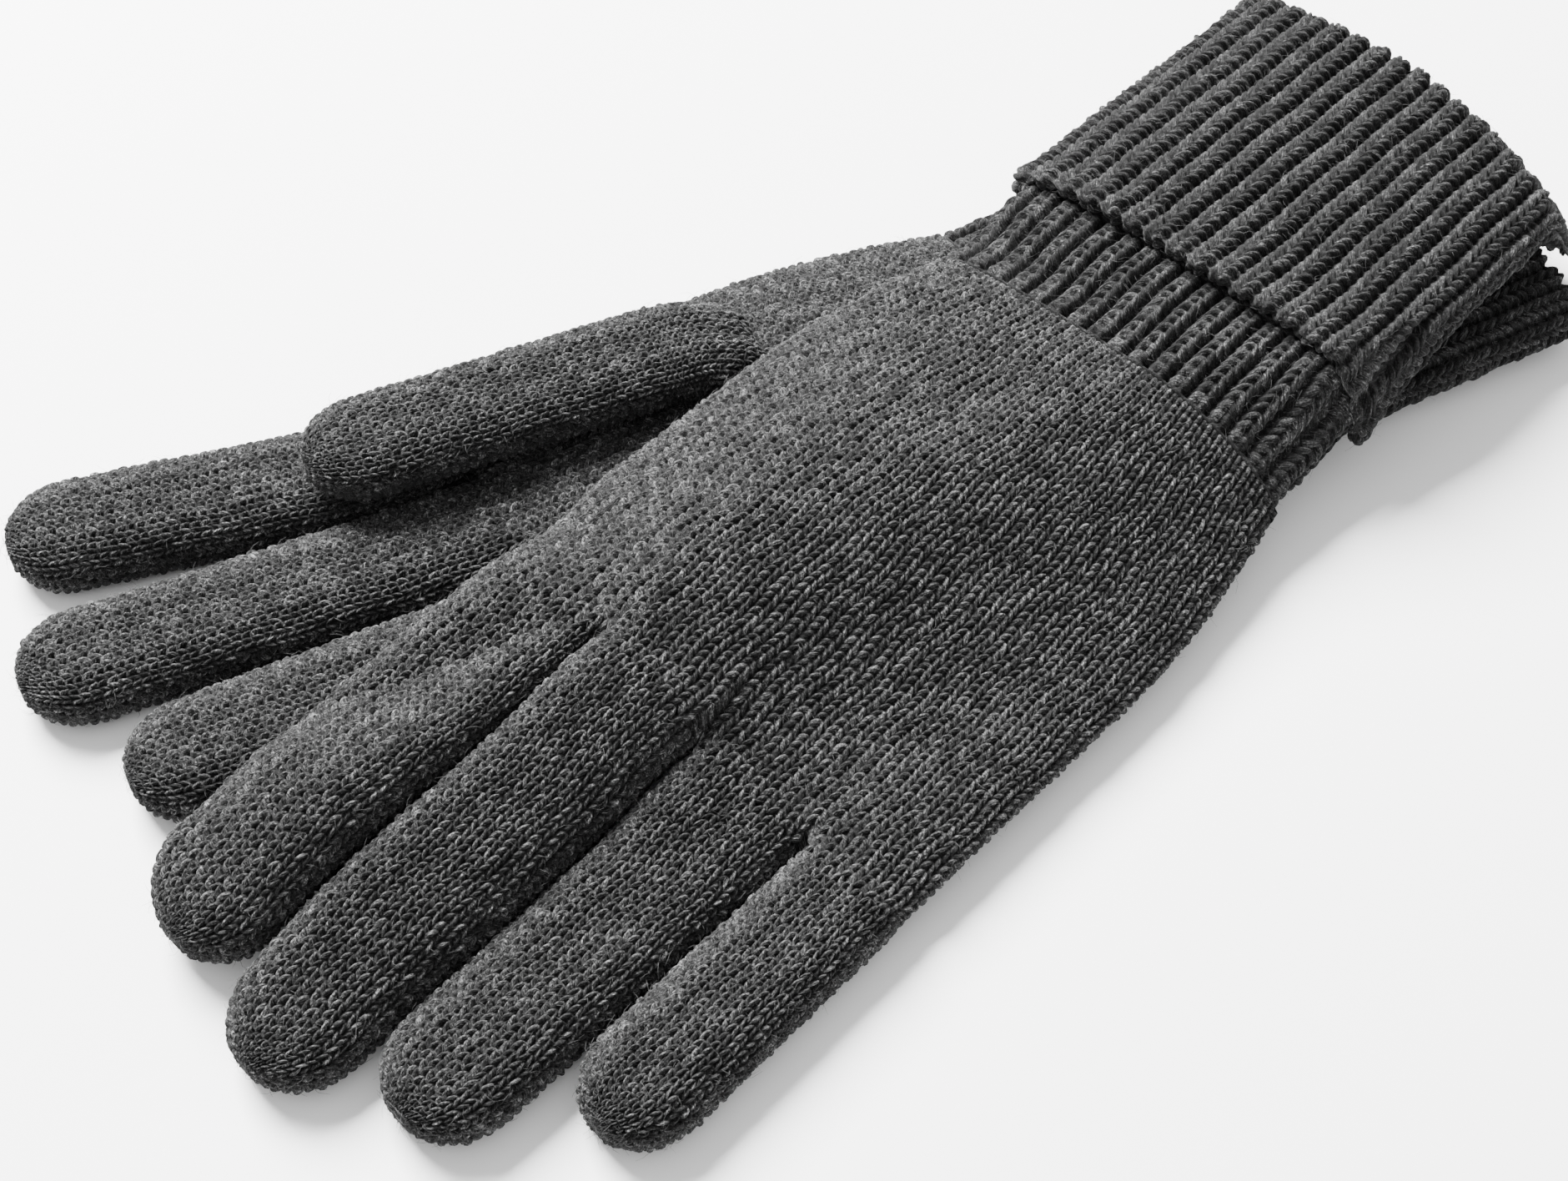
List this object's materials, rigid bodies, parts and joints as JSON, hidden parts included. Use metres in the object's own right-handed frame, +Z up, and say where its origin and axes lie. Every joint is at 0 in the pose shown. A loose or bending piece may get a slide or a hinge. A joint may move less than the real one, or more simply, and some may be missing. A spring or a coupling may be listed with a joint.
{
  "type": "pair of knitted gloves",
  "caption": "Pair of knitted wool gloves laid palm to palm, with ribbed wrists, turned-back ribbed cuffs and fingers that bend and spread.",
  "frame": {"origin": "under the middle of the right palm, on the table that the pair lies on", "axes": "+X towards the fingertips, +Y towards the little fingers, +Z up from the table"},
  "size_m": [0.2819, 0.1656, 0.0377],
  "materials": {
    "plain_knit": "charcoal heather wool, stocking stitch",
    "rib_knit": "charcoal heather wool, one by one rib",
    "edge_knit": "charcoal heather wool, cast-off edge"
  },
  "bodies": {
    "right_glove": {"right_hand": "plain_knit", "right_wrist_rib": "rib_knit", "right_cuff_inner": "rib_knit", "right_little_finger": "plain_knit", "right_little_closure": "plain_knit"},
    "right_index": {"right_index_finger": "plain_knit", "right_index_closure": "plain_knit"},
    "right_middle": {"right_middle_finger": "plain_knit", "right_middle_closure": "plain_knit"},
    "right_ring": {"right_ring_finger": "plain_knit", "right_ring_closure": "plain_knit"},
    "right_thumb": {"right_thumb": "plain_knit", "right_thumb_closure": "plain_knit"},
    "right_cuff": {"right_cuff_turnback": "rib_knit", "right_cuff_fold": "rib_knit", "right_cuff_edge": "edge_knit"},
    "left_glove": {"left_hand": "plain_knit", "left_wrist_rib": "rib_knit", "left_cuff_inner": "rib_knit", "left_thumb": "plain_knit", "left_thumb_closure": "plain_knit"},
    "left_index": {"left_index_finger": "plain_knit", "left_index_closure": "plain_knit"},
    "left_middle": {"left_middle_finger": "plain_knit", "left_middle_closure": "plain_knit"},
    "left_ring": {"left_ring_finger": "plain_knit", "left_ring_closure": "plain_knit"},
    "left_little": {"left_little_finger": "plain_knit", "left_little_closure": "plain_knit"},
    "left_cuff": {"left_cuff_turnback": "rib_knit", "left_cuff_fold": "rib_knit", "left_cuff_edge": "edge_knit"}
  },
  "joints": [
    {"name": "left_glove_lift", "type": "slide", "parent": "right_glove", "child": "left_glove", "axis": [0, 0, 1], "range_m": [0, 0.15]},
    {"name": "left_index_bend", "type": "hinge", "parent": "left_glove", "child": "left_index", "pos_m": [0.05688, 0.00961, 0.03756], "axis": [0.1616, -0.9869, 0], "range_deg": [0, 75]},
    {"name": "left_middle_bend", "type": "hinge", "parent": "left_glove", "child": "left_middle", "pos_m": [0.05323, 0.03191, 0.0376], "axis": [0.1616, -0.9869, 0], "range_deg": [0, 75]},
    {"name": "left_ring_bend", "type": "hinge", "parent": "left_glove", "child": "left_ring", "pos_m": [0.04957, 0.05422, 0.03139], "axis": [0.1616, -0.9869, 0], "range_deg": [0, 75]},
    {"name": "left_little_bend", "type": "hinge", "parent": "left_glove", "child": "left_little", "pos_m": [0.04613, 0.07524, 0.0134], "axis": [0.1616, -0.9869, 0], "range_deg": [0, 75]},
    {"name": "right_index_spread", "type": "hinge", "parent": "right_glove", "child": "right_index", "pos_m": [0.04493, -0.0518, 0.0065], "axis": [0, 0, -1], "range_deg": [0, 12]},
    {"name": "right_middle_spread", "type": "hinge", "parent": "right_glove", "child": "right_middle", "pos_m": [0.0487, -0.02952, 0.0065], "axis": [0, 0, -1], "range_deg": [0, 8.1]},
    {"name": "right_ring_spread", "type": "hinge", "parent": "right_glove", "child": "right_ring", "pos_m": [0.05247, -0.00724, 0.0065], "axis": [0, 0, -1], "range_deg": [0, 4.1]},
    {"name": "right_thumb_lift", "type": "hinge", "parent": "right_glove", "child": "right_thumb", "pos_m": [-0.01052, -0.01959, 0.0138], "axis": [-0.2131, -0.8809, -0.4226], "range_deg": [0, 60]},
    {"name": "right_cuff_unroll", "type": "slide", "parent": "right_glove", "child": "right_cuff", "axis": [-0.986, 0.1668, 0], "range_m": [0, 0.06]},
    {"name": "left_cuff_unroll", "type": "slide", "parent": "left_glove", "child": "left_cuff", "axis": [-0.9869, -0.1616, 0], "range_m": [0, 0.06]}
  ],
  "couplings": [
    {"joint": "right_middle_spread", "follows": "right_index_spread", "ratio": 0.6667},
    {"joint": "right_ring_spread", "follows": "right_index_spread", "ratio": 0.3333}
  ]
}
